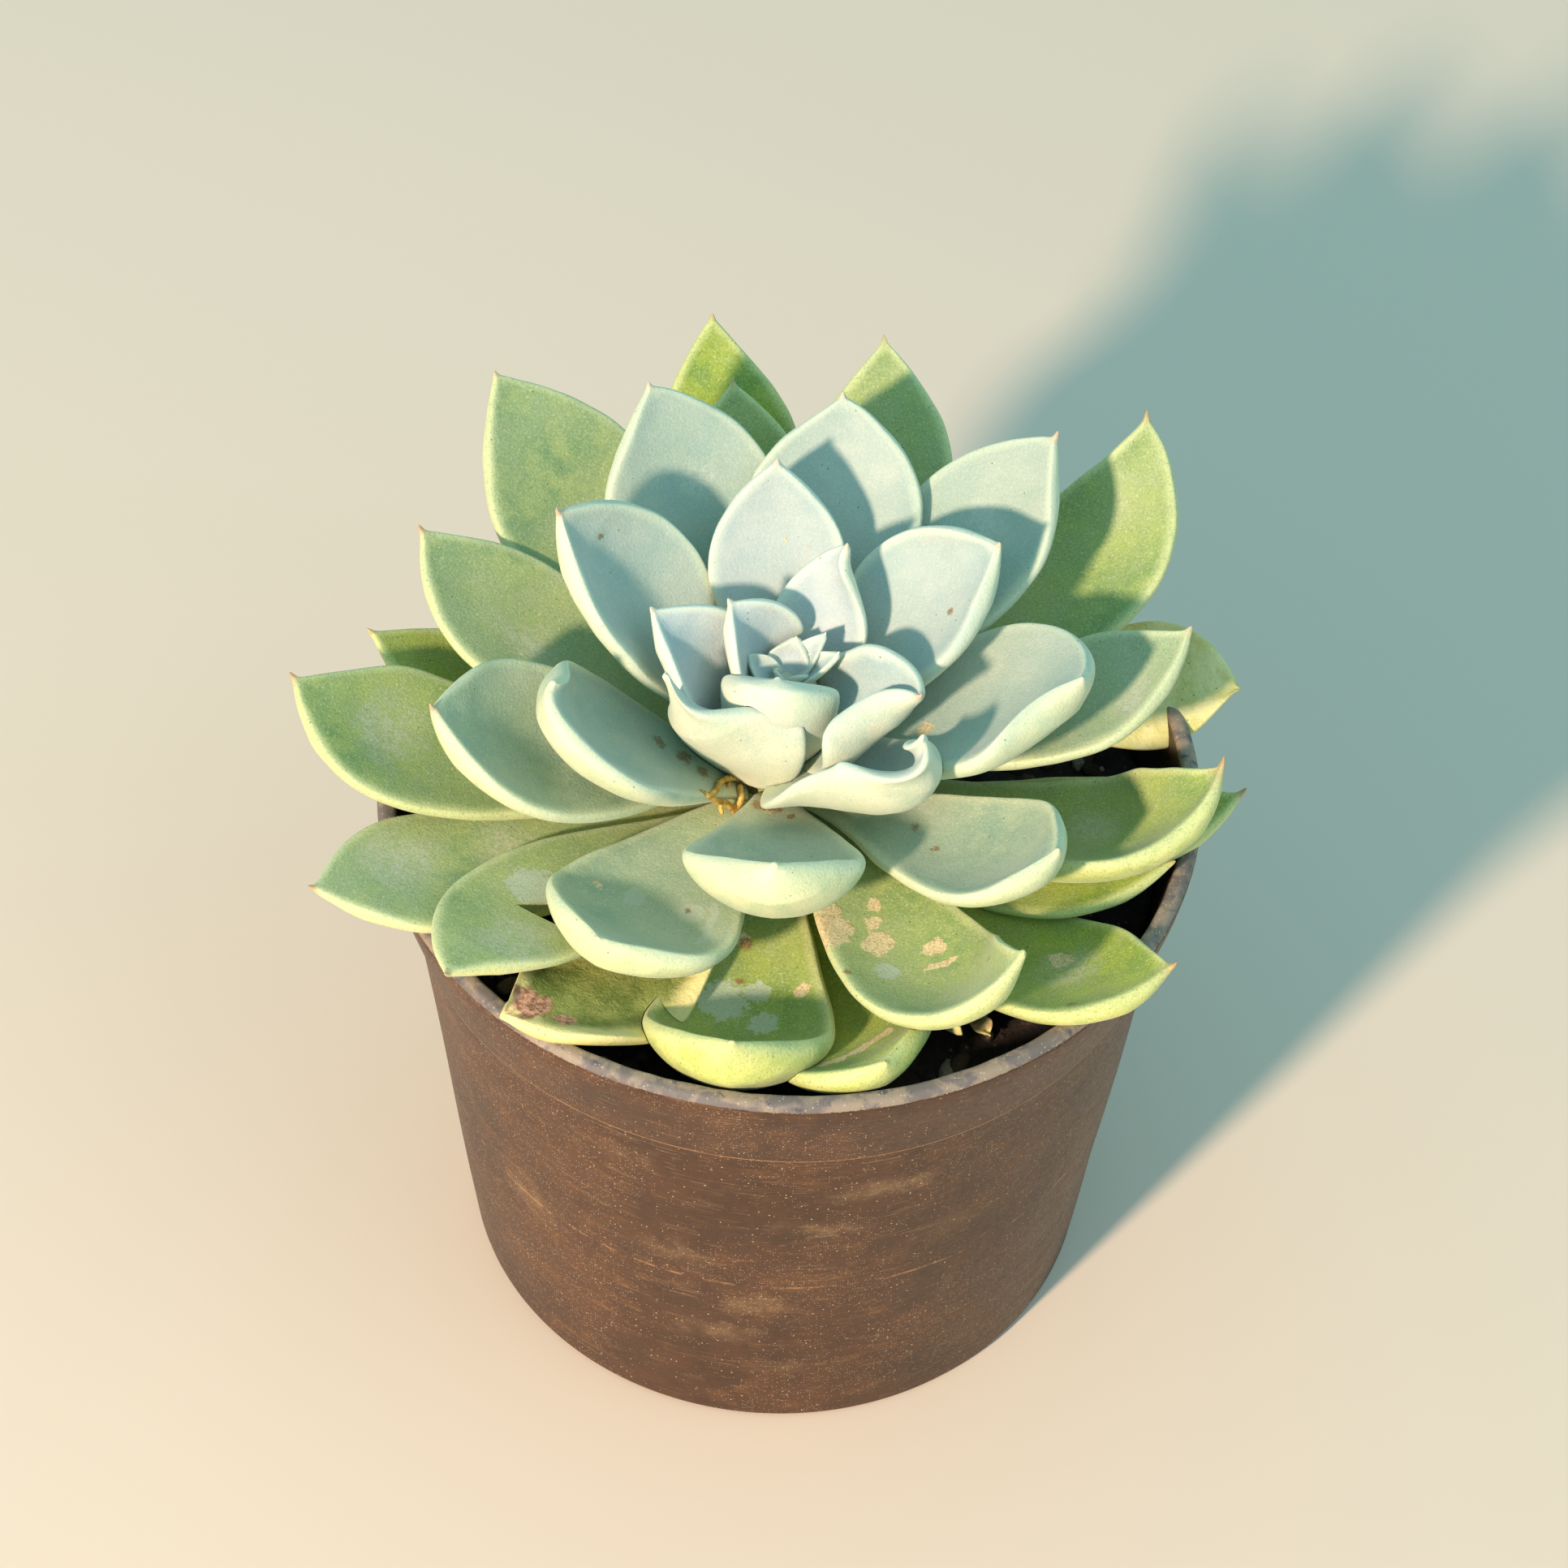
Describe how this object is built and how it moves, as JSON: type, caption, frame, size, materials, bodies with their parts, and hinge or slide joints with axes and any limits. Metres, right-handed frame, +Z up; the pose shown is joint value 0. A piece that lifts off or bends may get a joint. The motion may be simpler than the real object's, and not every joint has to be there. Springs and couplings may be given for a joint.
{
  "type": "potted mexican snowball",
  "caption": "Rosette of fleshy spoon-shaped pointed leaves on a short stem, growing in soil in a tapered round plastic nursery pot with a plain banded rim.",
  "frame": {"origin": "centre of the pot's underside, on the plane the pot stands on", "axes": "+Z up along the pot's axis, +Y away from the viewer of the picture, +X to its right"},
  "size_m": [0.1184, 0.1107, 0.116],
  "materials": {
    "pot_plastic": "dull dark brown moulded plastic with dust, scuffs and a worn grey rim",
    "soil": "dark crumbly potting mix",
    "stem": "woody, brown, scarred",
    "young_leaf": "powdery blue-green bloom, pale cream margins, matte",
    "old_leaf": "mid green under a worn powdery bloom, dusty, paler margins, matte",
    "withered_leaf": "yellow-brown, shrivelled, matte"
  },
  "bodies": {
    "root": {"pot": "pot_plastic", "soil": "soil", "stem": "stem", "heart": "young_leaf", "dried_leaf": "withered_leaf", "leaf_01": "withered_leaf", "leaf_02": "withered_leaf", "leaf_03": "old_leaf", "leaf_04": "old_leaf", "leaf_05": "old_leaf", "leaf_06": "old_leaf", "leaf_07": "old_leaf", "leaf_08": "old_leaf", "leaf_09": "old_leaf", "leaf_10": "old_leaf", "leaf_11": "old_leaf", "leaf_12": "old_leaf", "leaf_13": "old_leaf", "leaf_14": "old_leaf", "leaf_15": "old_leaf", "leaf_16": "old_leaf", "leaf_17": "old_leaf", "leaf_18": "old_leaf", "leaf_19": "old_leaf", "leaf_20": "old_leaf", "leaf_21": "old_leaf", "leaf_22": "old_leaf", "leaf_23": "young_leaf", "leaf_24": "young_leaf", "leaf_25": "young_leaf", "leaf_26": "young_leaf", "leaf_27": "young_leaf", "leaf_28": "young_leaf", "leaf_29": "young_leaf", "leaf_30": "young_leaf", "leaf_31": "young_leaf", "leaf_32": "young_leaf", "leaf_33": "young_leaf", "leaf_34": "young_leaf", "leaf_35": "young_leaf", "leaf_36": "young_leaf", "leaf_37": "young_leaf", "leaf_38": "young_leaf", "leaf_39": "young_leaf"}
  },
  "joints": []
}
